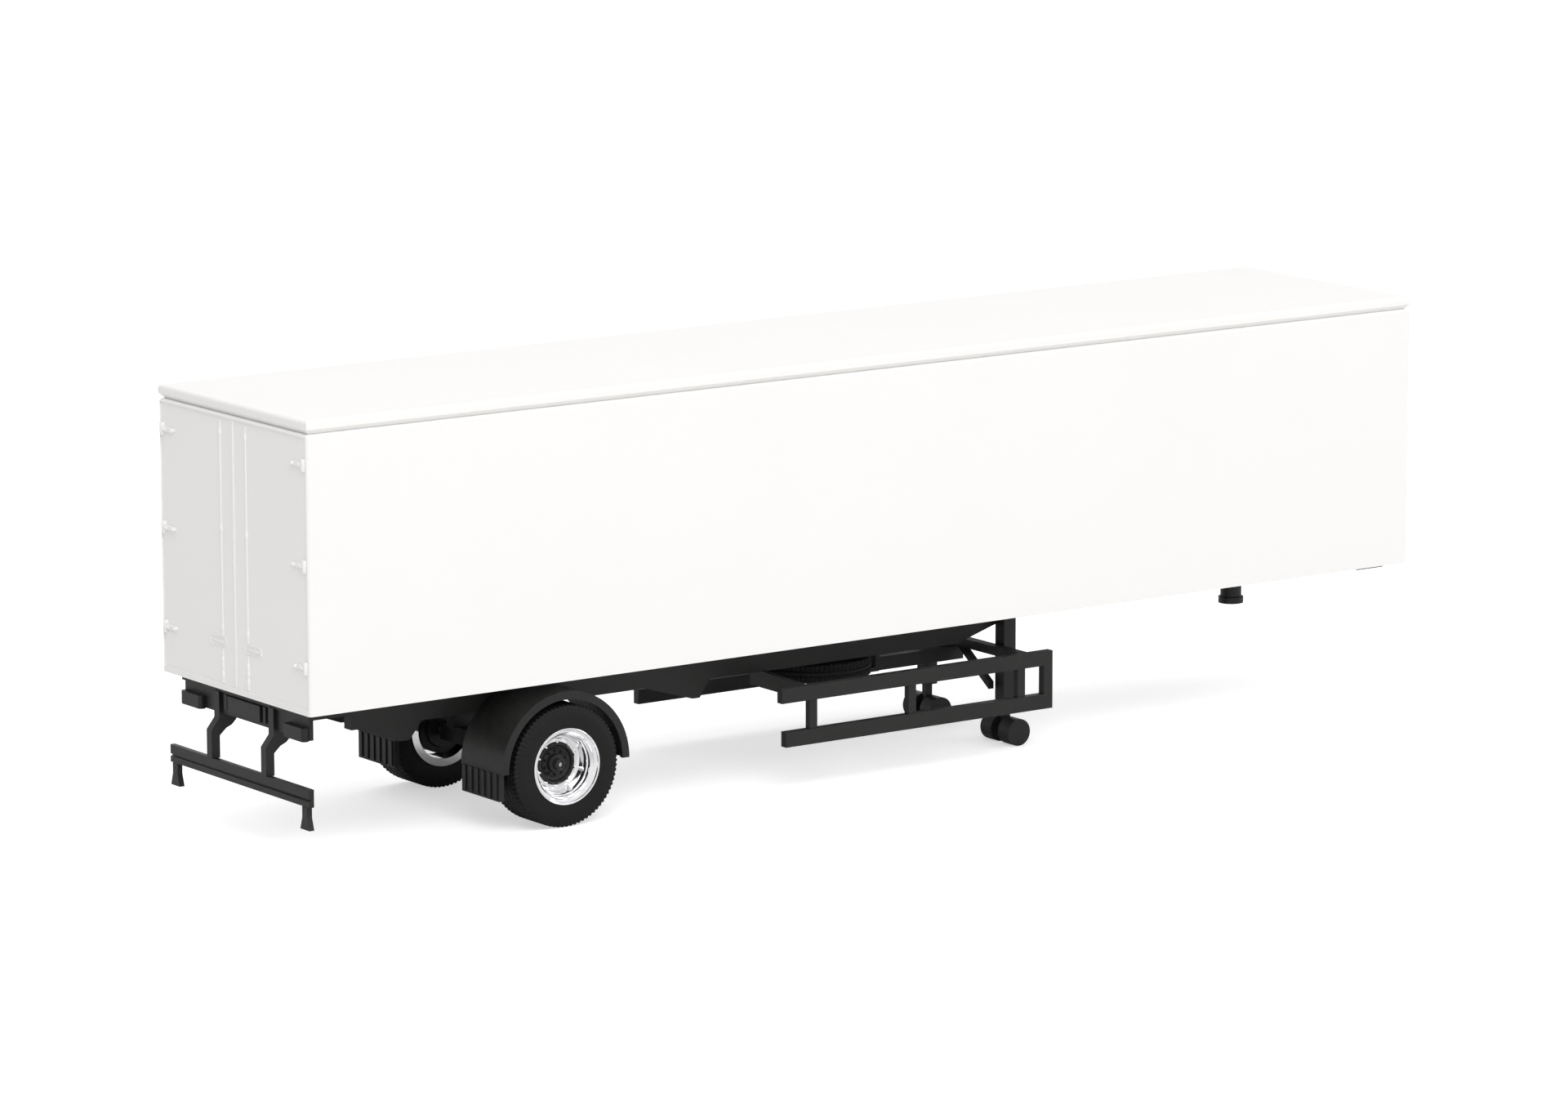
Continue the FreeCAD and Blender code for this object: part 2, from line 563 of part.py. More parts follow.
def spare_carrier():
    """Cradle under the spare wheel: a strip with an upright at each end, up to the crossmembers."""
    top = below(SPARE_TOP_DEPTH) - SPARE_WIDTH
    low = top - CARRIER_THICKNESS
    half = CARRIER_HALF_WIDTH
    cradle = block(CARRIER_X[0], CARRIER_X[1], -half, half, low, top)
    for x in (CARRIER_X[0], CARRIER_X[1] - CARRIER_THICKNESS):
        cradle = cradle.fuse(block(x, x + CARRIER_THICKNESS, -half, half, low, below(CROSSMEMBER_DEPTH)))
    return cradle


def landing_stay():
    """Bar along the middle from the spare wheel carrier to the landing gear's crossbar."""
    return block(CARRIER_X[1], CROSSBAR_X + CROSSBAR_LENGTH, -STAY_HALF_WIDTH, STAY_HALF_WIDTH,
                 below(STAY_DEPTH[1]), below(STAY_DEPTH[0]))


def main():
    os.makedirs("parts", exist_ok=True)
    save("front_wall", front_wall())
    save("floor", floor())
    save("door_header", door_header())
    save("roof_lid", roof_lid())
    save("crossmembers", crossmembers())
    save("front_crossmember", front_crossmember())
    save("coupling_plate", coupling_plate())
    save("kingpin", kingpin())
    save("rear_crossmember", rear_crossmember())
    save("number_panel", number_panel())
    save("underride_bar", underride_bar())
    save("axle", axle())
    save("axle_housing", axle_housing())
    save("landing_crossbar", landing_crossbar())
    save("spare_wheel", spare_wheel())
    save("spare_carrier", spare_carrier())
    save("landing_stay", landing_stay())
    for name, side in SIDES:
        save("side_wall_" + name, on_side(side_wall(), side))
        save("rear_door_" + name, on_side(rear_door(), side))
        save("rear_beam_" + name, on_side(rear_beam(), side))
        save("front_beam_" + name, on_side(front_beam(), side))
        save("tail_light_" + name, on_side(tail_light(), side))
        save("underride_bracket_" + name, on_side(underride_bracket(), side))
        save("marker_arm_" + name, on_side(marker_arm(), side))
        save("tyre_" + name, on_side(tyre(), side))
        save("rim_" + name, on_side(rim(), side))
        save("hub_" + name, on_side(hub(), side))
        save("rear_hanger_" + name, on_side(rear_hanger(), side))
        save("front_hanger_" + name, on_side(front_hanger(), side))
        save("axle_seat_" + name, on_side(axle_seat(), side))
        save("mudguard_" + name, on_side(mudguard(), side))
        save("mudflap_" + name, on_side(mudflap(), side))
        save("side_guard_" + name, on_side(side_guard(), side))
        save("outrigger_" + name, on_side(outrigger(), side))
        save("landing_leg_" + name, on_side(landing_leg(), side))
        save("landing_wheels_" + name, on_side(landing_wheels(), side))
        save("landing_brace_" + name, on_side(landing_brace(), side))


main()
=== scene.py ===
"""Looks of a 1:87 plastic scale model of a single-axle box semi-trailer.

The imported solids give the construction. This file dresses them, replaces the wheels and the
underride bar with finely profiled surfaces, and adds the moulded relief of the rear doors.
"""

import json
import logging
import math
from dataclasses import dataclass, field
from enum import Enum

import bmesh
import bpy
import numpy as np
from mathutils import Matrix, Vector

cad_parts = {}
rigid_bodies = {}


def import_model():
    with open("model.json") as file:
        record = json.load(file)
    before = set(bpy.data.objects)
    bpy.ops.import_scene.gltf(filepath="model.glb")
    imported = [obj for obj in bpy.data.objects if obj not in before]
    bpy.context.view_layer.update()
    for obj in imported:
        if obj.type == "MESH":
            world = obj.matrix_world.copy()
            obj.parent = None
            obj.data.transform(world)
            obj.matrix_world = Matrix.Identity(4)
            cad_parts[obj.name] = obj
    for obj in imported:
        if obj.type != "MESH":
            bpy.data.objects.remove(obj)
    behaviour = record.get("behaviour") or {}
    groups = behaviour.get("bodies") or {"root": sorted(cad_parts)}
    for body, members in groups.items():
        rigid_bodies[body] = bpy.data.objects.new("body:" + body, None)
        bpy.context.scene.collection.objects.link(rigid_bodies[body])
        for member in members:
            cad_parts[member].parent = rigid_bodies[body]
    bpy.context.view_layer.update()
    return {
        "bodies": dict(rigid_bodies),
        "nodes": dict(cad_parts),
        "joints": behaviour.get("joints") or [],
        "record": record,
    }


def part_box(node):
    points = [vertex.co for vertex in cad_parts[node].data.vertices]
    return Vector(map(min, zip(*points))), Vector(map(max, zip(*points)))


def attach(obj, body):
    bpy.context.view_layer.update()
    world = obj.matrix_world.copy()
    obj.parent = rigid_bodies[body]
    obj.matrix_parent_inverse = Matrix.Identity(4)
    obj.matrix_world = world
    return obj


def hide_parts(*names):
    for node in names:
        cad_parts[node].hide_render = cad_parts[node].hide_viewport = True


MM = 0.001
log = logging.getLogger("trailer")


class Slot(Enum):
    """Material slots of the record."""

    WHITE = "white_plastic"
    BLACK = "black_plastic"
    TYRE = "tyre_plastic"
    CHROME = "chrome"
    STEEL = "steel"


class Body(Enum):
    """Rigid bodies of the trailer."""

    TRAILER = "trailer"
    WHEELSET = "wheelset"


# --- mesh tools ---


def mesh_piece(name: str, points: np.ndarray, faces: np.ndarray) -> bpy.types.Object:
    """Makes a mesh object at the origin, closes its seams and turns its faces outward.

    Args:
        name: Name of the object.
        points: Vertex places in metres, one row each.
        faces: Corner numbers, one row of four for each face.

    Returns:
        The new object.
    """
    mesh = bpy.data.meshes.new(name)
    mesh.from_pydata(points.tolist(), [], faces.tolist())
    shape = bmesh.new()
    shape.from_mesh(mesh)
    bmesh.ops.remove_doubles(shape, verts=shape.verts, dist=0.002 * MM)
    bmesh.ops.dissolve_degenerate(shape, edges=shape.edges, dist=0.001 * MM)
    bmesh.ops.recalc_face_normals(shape, faces=shape.faces)
    shape.to_mesh(mesh)
    shape.free()
    mesh.shade_smooth()
    mesh.set_sharp_from_angle(angle=math.radians(32))
    piece = bpy.data.objects.new(name, mesh)
    bpy.context.scene.collection.objects.link(piece)
    return piece


def grid_faces(rows: int, columns: int, close_rows: bool, close_columns: bool) -> np.ndarray:
    """Faces of a grid of points.

    Each face joins point (i, j) with (i + 1, j), (i + 1, j + 1) and (i, j + 1), where a closed
    direction wraps round to its first point.

    Args:
        rows: Number of points along the first parameter.
        columns: Number of points along the second parameter.
        close_rows: True where the last row joins the first.
        close_columns: True where the last column joins the first.

    Returns:
        An array of four corner numbers a face.
    """
    row_starts = np.arange(rows - (not close_rows))
    column_starts = np.arange(columns - (not close_columns))
    i, j = np.meshgrid(row_starts, column_starts, indexing="ij")
    i, j = i.ravel(), j.ravel()
    down, right = (i + 1) % rows, (j + 1) % columns
    corners = [i * columns + j, down * columns + j, down * columns + right, i * columns + right]
    return np.stack(corners, axis=1)


def lathe(name: str, profile: np.ndarray, centre: tuple[float, float, float], axis: str, steps: int = 96,
          relief: np.ndarray | None = None) -> bpy.types.Object:
    """Surface turned about an axis.

    A point lies at radius r(p) + relief(t, p) from the axis, at angle t, and at height h(p) along
    the axis, where p runs along the closed profile and t runs once round.

    Args:
        name: Name of the object.
        profile: Rows of (radius, height) in mm, closed from the last row to the first.
        centre: Point of the axis with height zero, in mm.
        axis: "Y" or "Z".
        steps: Number of steps round the axis.
        relief: Radii to add in mm, one row an angle and one column a profile point.

    Returns:
        The new object.
    """
    angle = np.linspace(0, 2 * np.pi, steps, endpoint=False)[:, None]
    radius = np.broadcast_to(profile[:, 0], (steps, len(profile)))
    if relief is not None:
        radius = radius + relief
    height = np.broadcast_to(profile[:, 1], (steps, len(profile)))
    across, up = radius * np.cos(angle), radius * np.sin(angle)
    layers = [across, height, up] if axis == "Y" else [across, up, height]
    points = np.stack(layers, axis=-1) + np.array(centre)
    faces = grid_faces(steps, len(profile), True, True)
    return mesh_piece(name, points.reshape(-1, 3) * MM, faces)


def prism(name: str, outline: np.ndarray, span: tuple[float, float], axis: str,
          bevel: float = 0.05) -> bpy.types.Object:
    """Solid of a flat outline carried along a straight path, with its edges rounded.

    A point lies at outline point p, at the distance s along the axis, where s takes the two ends
    of the span. Each end is closed by one face.

    Args:
        name: Name of the object.
        outline: Rows of the two coordinates square to the axis, in X, Y, Z order, in mm.
        span: First and last coordinate along the axis, in mm.
        axis: "X", "Y" or "Z".
        bevel: Width of the rounded edges in mm.

    Returns:
        The new object.
    """
    place = "XYZ".index(axis)
    ends = [np.insert(outline, place, value, axis=1) for value in span]
    points = np.concatenate(ends) * MM
    count = len(outline)
    faces = grid_faces(2, count, False, True).tolist()
    faces += [list(range(count)), list(range(count, 2 * count))]
    mesh = bpy.data.meshes.new(name)
    mesh.from_pydata(points.tolist(), [], faces)
    shape = bmesh.new()
    shape.from_mesh(mesh)
    bmesh.ops.recalc_face_normals(shape, faces=shape.faces)
    shape.to_mesh(mesh)
    shape.free()
    piece = bpy.data.objects.new(name, mesh)
    bpy.context.scene.collection.objects.link(piece)
    round_edges(piece, bevel)
    return piece


def round_edges(piece: bpy.types.Object, width: float) -> None:
    """Rounds a piece's sharp edges by a bevel of the given width in mm."""
    bevel = piece.modifiers.new("rounding", "BEVEL")
    bevel.width = width * MM
    bevel.segments = 3
    bevel.limit_method = "ANGLE"
    bevel.harden_normals = False
    piece.data.shade_smooth()
    piece.data.set_sharp_from_angle(angle=math.radians(50))


def box_outline(low: tuple[float, float], high: tuple[float, float]) -> np.ndarray:
    """Outline of a rectangle from its lowest and highest corners."""
    return np.array([low, (high[0], low[1]), high, (low[0], high[1])])


def joined(name: str, parts: list[bpy.types.Object]) -> bpy.types.Object:
    """Joins pieces into one mesh, after their modifiers are applied.

    Args:
        name: Name of the joined object.
        parts: The pieces, which are used up.

    Returns:
        The joined object.
    """
    depsgraph = bpy.context.evaluated_depsgraph_get()
    whole = bmesh.new()
    for part in parts:
        mesh = bpy.data.meshes.new_from_object(part.evaluated_get(depsgraph))
        whole.from_mesh(mesh)
        bpy.data.meshes.remove(mesh)
    mesh = bpy.data.meshes.new(name)
    whole.to_mesh(mesh)
    whole.free()
    for part in parts:
        bpy.data.objects.remove(part)
    mesh.shade_smooth()
    mesh.set_sharp_from_angle(angle=math.radians(40))
    piece = bpy.data.objects.new(name, mesh)
    bpy.context.scene.collection.objects.link(piece)
    return piece


def place(piece: bpy.types.Object, body: Body, slot: Slot, material: bpy.types.Material, *nodes: str) -> None:
    """Rides a piece on its body, gives it its material and hides the imported nodes it stands for."""
    piece.data.materials.clear()
    piece.data.materials.append(material)
    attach(piece, body.value)
    if nodes:
        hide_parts(*nodes)
    log.info("%s: %d faces", piece.name, len(piece.data.polygons))


# --- shared shading effects ---


def socket(group: bpy.types.NodeTree, name: str, way: str, kind: str, value: float | None = None) -> None:
    """Adds a named input or output socket to a node group."""
    item = group.interface.new_socket(name, in_out=way, socket_type=kind)
    if value is not None:
        item.default_value = value


def moulding_group() -> bpy.types.NodeTree:
    """Grain of a moulded surface: fine spark texture and broad, faint flow marks.

    Returns:
        A group with inputs Grain and Flow, in cycles a metre, and outputs Height, Mottle and
        Shine, each between 0 and 1.
    """
    group = bpy.data.node_groups.new("moulded_surface", "ShaderNodeTree")
    socket(group, "Grain", "INPUT", "NodeSocketFloat", 5000.0)
    socket(group, "Flow", "INPUT", "NodeSocketFloat", 60.0)
    for name in ("Height", "Mottle", "Shine"):
        socket(group, name, "OUTPUT", "NodeSocketFloat")
    nodes, links = group.nodes, group.links
    entry, leave = nodes.new("NodeGroupInput"), nodes.new("NodeGroupOutput")
    where = nodes.new("ShaderNodeTexCoord")
    for source, detail, target in (("Grain", 2.0, "Height"), ("Flow", 4.0, "Mottle"), ("Flow", 8.0, "Shine")):
        noise = nodes.new("ShaderNodeTexNoise")
        noise.inputs["Detail"].default_value = detail
        noise.inputs["Roughness"].default_value = 0.6
        links.new(where.outputs["Object"], noise.inputs["Vector"])
        links.new(entry.outputs[source], noise.inputs["Scale"])
        links.new(noise.outputs["Fac"], leave.inputs[target])
    return group


def dust_group() -> bpy.types.NodeTree:
    """Faint dust that lies on surfaces that face up.

    Returns:
        A group with input Amount and output Dust, a mask from 0 to Amount.
    """
    group = bpy.data.node_groups.new("settled_dust", "ShaderNodeTree")
    socket(group, "Amount", "INPUT", "NodeSocketFloat", 0.1)
    socket(group, "Dust", "OUTPUT", "NodeSocketFloat")
    nodes, links = group.nodes, group.links
    entry, leave = nodes.new("NodeGroupInput"), nodes.new("NodeGroupOutput")
    where, shape = nodes.new("ShaderNodeTexCoord"), nodes.new("ShaderNodeNewGeometry")
    split = nodes.new("ShaderNodeSeparateXYZ")
    links.new(shape.outputs["Normal"], split.inputs["Vector"])
    noise = nodes.new("ShaderNodeTexNoise")
    noise.inputs["Scale"].default_value = 900.0
    noise.inputs["Detail"].default_value = 6.0
    links.new(where.outputs["Object"], noise.inputs["Vector"])
    speck = nodes.new("ShaderNodeMapRange")
    speck.inputs["From Min"].default_value = 0.42
    speck.inputs["From Max"].default_value = 0.75
    links.new(noise.outputs["Fac"], speck.inputs["Value"])
    up = nodes.new("ShaderNodeMath")
    up.operation = "MULTIPLY"
    up.use_clamp = True
    links.new(split.outputs["Z"], up.inputs[0])
    links.new(speck.outputs["Result"], up.inputs[1])
    scaled = nodes.new("ShaderNodeMath")
    scaled.operation = "MULTIPLY"
    links.new(up.outputs["Value"], scaled.inputs[0])
    links.new(entry.outputs["Amount"], scaled.inputs[1])
    links.new(scaled.outputs["Value"], leave.inputs["Dust"])
    return group


@dataclass(frozen=True)
class Finish:
    """A moulded or plated finish, with its grain, flow marks and dust."""

    name: str
    colour: tuple[float, float, float]
    second: tuple[float, float, float]
    roughness: tuple[float, float]
    grain: float
    flow: float
    bump: float
    dust: float
    metallic: float = 0.0
    specular: float = 0.5
    subsurface: float = 0.0

    def build(self, moulding: bpy.types.NodeTree, dust: bpy.types.NodeTree) -> bpy.types.Material:
        """Makes the material.

        Args:
            moulding: The shared group of moulded grain.
            dust: The shared group of settled dust.

        Returns:
            The material.
        """
        material = bpy.data.materials.new(self.name)
        material.use_nodes = True
        nodes, links = material.node_tree.nodes, material.node_tree.links
        shader = nodes["Principled BSDF"]
        shader.inputs["Metallic"].default_value = self.metallic
        shader.inputs["Specular IOR Level"].default_value = self.specular
        if self.subsurface:
            shader.inputs["Subsurface Weight"].default_value = self.subsurface
            shader.inputs["Subsurface Radius"].default_value = (1.0, 0.9, 0.8)
            shader.inputs["Subsurface Scale"].default_value = 0.4 * MM
        surface = nodes.new("ShaderNodeGroup")
        surface.node_tree = moulding
        surface.inputs["Grain"].default_value = self.grain
        surface.inputs["Flow"].default_value = self.flow
        veil = nodes.new("ShaderNodeGroup")
        veil.node_tree = dust
        veil.inputs["Amount"].default_value = self.dust
        mottled = nodes.new("ShaderNodeMix")
        mottled.data_type = "RGBA"
        mottled.inputs["A"].default_value = (*self.colour, 1)
        mottled.inputs["B"].default_value = (*self.second, 1)
        links.new(surface.outputs["Mottle"], mottled.inputs["Factor"])
        dusty = nodes.new("ShaderNodeMix")
        dusty.data_type = "RGBA"
        dusty.inputs["B"].default_value = (0.45, 0.43, 0.4, 1)
        links.new(veil.outputs["Dust"], dusty.inputs["Factor"])
        links.new(mottled.outputs["Result"], dusty.inputs["A"])
        links.new(dusty.outputs["Result"], shader.inputs["Base Color"])
        shine = nodes.new("ShaderNodeMapRange")
        shine.inputs["To Min"].default_value = self.roughness[0]
        shine.inputs["To Max"].default_value = self.roughness[1]
        links.new(surface.outputs["Shine"], shine.inputs["Value"])
        links.new(shine.outputs["Result"], shader.inputs["Roughness"])
        bump = nodes.new("ShaderNodeBump")
        bump.inputs["Strength"].default_value = self.bump
        bump.inputs["Distance"].default_value = 0.02 * MM
        links.new(surface.outputs["Height"], bump.inputs["Height"])
        links.new(bump.outputs["Normal"], shader.inputs["Normal"])
        return material


FINISHES = {
    Slot.WHITE: Finish(
        "white_moulding", colour=(0.86, 0.85, 0.84), second=(0.83, 0.82, 0.805), roughness=(0.38, 0.52),
        grain=4200, flow=45, bump=0.25, dust=0.02, subsurface=0.08),
    Slot.BLACK: Finish(
        "black_moulding", colour=(0.008, 0.008, 0.0078), second=(0.015, 0.0146, 0.014),
        roughness=(0.34, 0.54), grain=5200, flow=160, bump=0.5, dust=0.03, specular=0.3),
    Slot.TYRE: Finish(
        "tyre_moulding", colour=(0.005, 0.005, 0.005), second=(0.009, 0.009, 0.0088),
        roughness=(0.45, 0.65), grain=6500, flow=220, bump=0.6, dust=0.02, specular=0.18),
    Slot.CHROME: Finish(
        "plated_rim", colour=(0.84, 0.84, 0.85), second=(0.78, 0.78, 0.8), roughness=(0.03, 0.08),
        grain=3000, flow=140, bump=0.06, dust=0.0, metallic=1.0),
    Slot.STEEL: Finish(
        "drawn_rod", colour=(0.5, 0.5, 0.51), second=(0.42, 0.42, 0.43), roughness=(0.25, 0.4),
        grain=4000, flow=300, bump=0.2, dust=0.0, metallic=1.0),
}


# --- wheels ---


@dataclass
class TyreShape:
    """Profiled tyre: flat sidewalls, a toothed shoulder and grooves round the tread. Sizes in mm."""

    radius: float
    width: float
    seat: float
    grooves: int = 4
    groove_width: float = 0.28
    groove_depth: float = 0.16
    shoulder: float = 0.42
    teeth: int = 78
    tooth_depth: float = 0.13
    bulge: float = 0.12
    steps_per_tooth: int = 8

    def profile(self) -> tuple[np.ndarray, np.ndarray]:
        """Closed profile and how strongly the teeth cut each of its points.

        The tread runs across the width at the full radius, less a raised cosine dip at each
        groove. A quarter of a superellipse rounds each shoulder, and each sidewall is a shallow
        sine bulge down to the seat.

        Returns:
            Rows of (radius, height) from the tyre's middle, and a weight from 0 to 1 a row.
        """
        half = self.width / 2
        run = half - self.shoulder
        across = np.linspace(-run, run, 97)
        centres = np.linspace(-run, run, self.grooves + 2)[1:-1]
        near = np.abs(across[:, None] - centres).min(axis=1) / (self.groove_width / 2)
        dip = np.where(near < 1, 0.5 + 0.5 * np.cos(np.pi * near), 0) ** 0.5
        tread = np.stack([self.radius - self.groove_depth * dip, across], axis=1)
        turn = np.linspace(0, np.pi / 2, 9)[1:]
        corner = np.stack([self.radius - self.shoulder + self.shoulder * np.cos(turn) ** 0.8,
                           run + (self.shoulder - self.bulge) * np.sin(turn) ** 0.8], axis=1)
        low = self.radius - self.shoulder
        fall = np.linspace(0, 1, 15)[1:]
        swell = self.bulge * (1 - np.sin(np.pi * fall) ** 0.5)
        wall = np.stack([low + (self.seat - low) * fall, half - swell], axis=1)
        side = np.concatenate([corner, wall])
        mirrored = side[::-1] * (1, -1)
        outline = np.concatenate([mirrored, tread, side])
        edge = np.clip((np.abs(outline[:, 1]) - (run - 0.55)) / 0.2, 0, 1)
        outer = np.clip((outline[:, 0] - (self.radius - 0.75)) / 0.15, 0, 1)
        return outline, edge * outer

    def build(self, name: str, centre: tuple[float, float, float], axis: str) -> bpy.types.Object:
        """Makes the tyre.

        The teeth are a smoothed square wave of the angle that lowers the radius at the shoulders.

        Args:
            name: Name of the object.
            centre: The tyre's middle in mm.
            axis: Axis it turns about, "Y" or "Z".

        Returns:
            The new object.
        """
        outline, weight = self.profile()
        steps = self.teeth * self.steps_per_tooth
        angle = np.linspace(0, 2 * np.pi, steps, endpoint=False)
        wave = 0.5 + 0.5 * np.tanh(3 * np.sin(self.teeth * angle))
        relief = -self.tooth_depth * wave[:, None] * weight
        return lathe(name, outline, centre, axis, steps, relief)


@dataclass
class Wheel:
    """One main wheel: tyre, deep-dish rim, ring of studs and black hub. Sizes in mm."""

    side: int
    centre: np.ndarray
    face: float
    lip_radius: float
    seat: float
    width: float
    radius: float
    studs: int = 10
    stud_ring: float = 2.3
    stud_radius: float = 0.15
    nut_ring: float = 1.3
    nut_radius: float = 0.12
    nut_depth: float = 2.3
    stud_depth: float = 2.02
    name: str = field(init=False)

    def __post_init__(self) -> None:
        """Names the wheel after its side."""
        self.name = "left" if self.side > 0 else "right"

    def spot(self, depth: float) -> tuple[float, float, float]:
        """Point of the axis at a depth behind the wheel's face."""
        return (self.centre[0], self.side * (self.face - depth), self.centre[2])

    def outward(self, rows: list[tuple[float, float]]) -> np.ndarray:
        """Profile given as (radius, depth behind the face), turned to (radius, height)."""
        table = np.array(rows)
        table[:, 1] *= -self.side
        return table

    def rim(self) -> bpy.types.Object:
        """Rim with a rolled lip, a conical flange, a barrel with one step and the wheel disc."""
        back = self.width
        turn = np.linspace(np.pi, 0, 7)
        lip = [(self.lip_radius - 0.1 + 0.1 * math.cos(a), -0.12 * math.sin(a) + 0.02) for a in turn]
        rows = lip + [(self.lip_radius, 0.14), (self.seat, 0.3), (self.seat, back - 0.05),
                      (self.lip_radius, back + 0.05), (self.lip_radius, back + 0.12),
                      (3.3, back + 0.12), (3.3, back - 0.2), (3.15, 2.9), (1.9, 2.8), (1.9, 2.3),
                      (2.25, 2.2), (2.3, 2.1), (2.62, 2.14), (2.7, 2.08), (2.78, 2.14), (2.9, 2.1),
                      (3.0, 1.9), (3.08, 1.55), (3.12, 1.15), (3.2, 1.0), (3.27, 0.94), (3.3, 0.82),
                      (3.3, 0.62), (3.38, 0.5), (3.46, 0.44), (3.52, 0.3), (3.6, 0.2), (3.86, 0.12)]
        return lathe(f"rim_skin_{self.name}", self.outward(rows), self.spot(0), "Y", 144)

    def hub(self) -> bpy.types.Object:
        """Black hub: recessed bowl, stepped cap with a dimple, and the drum behind the disc."""
        rows = [(0.0, 1.28), (0.2, 1.28), (0.26, 1.12), (0.48, 1.1), (0.55, 1.16), (0.62, 1.3), (0.64, 1.75),
                (0.95, 1.8), (1.0, 1.9), (1.02, 2.3), (1.45, 2.4), (1.8, 2.25), (1.95, 1.98),
                (2.12, 1.98), (2.2, 2.1), (2.2, 2.6),
                (2.75, 2.85), (2.75, 4.7), (2.1, 4.75), (2.0, 5.1), (0.56, 5.15), (0.5, 5.0), (0.0, 5.0)]
        return lathe(f"hub_skin_{self.name}", self.outward(rows), self.spot(0), "Y", 96)

    def stud_ring_piece(self, ring: float, size: float, depth: float, label: str) -> bpy.types.Object:
        """Studs with rounded heads, evenly round a ring.

        Args:
            ring: Radius of the ring in mm.
            size: Radius of one stud in mm.
            depth: How far behind the wheel's face their roots lie, in mm.
            label: First part of the piece's name.

        Returns:
            The joined studs.
        """
        rows = [(0.0, -0.3), (0.55 * size, -0.28), (0.9 * size, -0.2), (size, -0.1), (size, 0.1), (0.0, 0.1)]
        studs = []
        for index in range(self.studs):
            angle = 2 * math.pi * (index + 0.5) / self.studs
            x, y, z = self.spot(depth)
            centre = (x + ring * math.cos(angle), y, z + ring * math.sin(angle))
            studs.append(lathe(f"{label}_{index}", self.outward(rows), centre, "Y", 12))
        return joined(f"{label}_{self.name}", studs)

    def build(self, materials: dict[Slot, bpy.types.Material]) -> None:
        """Builds and dresses the wheel's pieces."""
        middle = self.face - self.width / 2
        tyre = TyreShape(self.radius, self.width, self.seat).build(
            f"tyre_skin_{self.name}", (self.centre[0], self.side * middle, self.centre[2]), "Y")
        place(tyre, Body.WHEELSET, Slot.TYRE, materials[Slot.TYRE], f"tyre_{self.name}")
        place(self.rim(), Body.WHEELSET, Slot.CHROME, materials[Slot.CHROME], f"rim_{self.name}")
        place(self.hub(), Body.WHEELSET, Slot.BLACK, materials[Slot.BLACK], f"hub_{self.name}")
        studs = self.stud_ring_piece(
            self.stud_ring, self.stud_radius, self.stud_depth, "wheel_studs")
        place(studs, Body.WHEELSET, Slot.CHROME, materials[Slot.CHROME])
        nuts = self.stud_ring_piece(self.nut_ring, self.nut_radius, self.nut_depth, "hub_nuts")
        place(nuts, Body.WHEELSET, Slot.BLACK, materials[Slot.BLACK])


@dataclass
class SpareWheel:
    """Spare wheel lying flat on its cradle. Sizes in mm."""

    seat: float = 3.85

    def build(self, materials: dict[Slot, bpy.types.Material]) -> None:
        """Builds and dresses the spare tyre and its disc."""
        low, high = (np.array(corner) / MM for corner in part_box("spare_wheel"))
        centre = (low + high) / 2
        width = high[2] - low[2]
        radius = (high[0] - low[0]) / 2
        tyre = TyreShape(radius, width, self.seat, grooves=2).build("spare_tyre_skin", tuple(centre), "Z")
        half = width / 2
        rows = np.array([(0.0, half - 0.75), (1.5, half - 0.8), (1.7, half - 0.5), (2.6, half - 0.6),
                         (3.3, half - 0.2), (self.seat, half - 0.15), (self.seat, -half + 0.3),
                         (0.0, -half + 0.5)])
        disc = lathe("spare_disc_skin", rows, tuple(centre), "Z", 96)
        place(tyre, Body.TRAILER, Slot.TYRE, materials[Slot.TYRE], "spare_wheel")
        place(disc, Body.TRAILER, Slot.BLACK, materials[Slot.BLACK])


# --- rear end ---


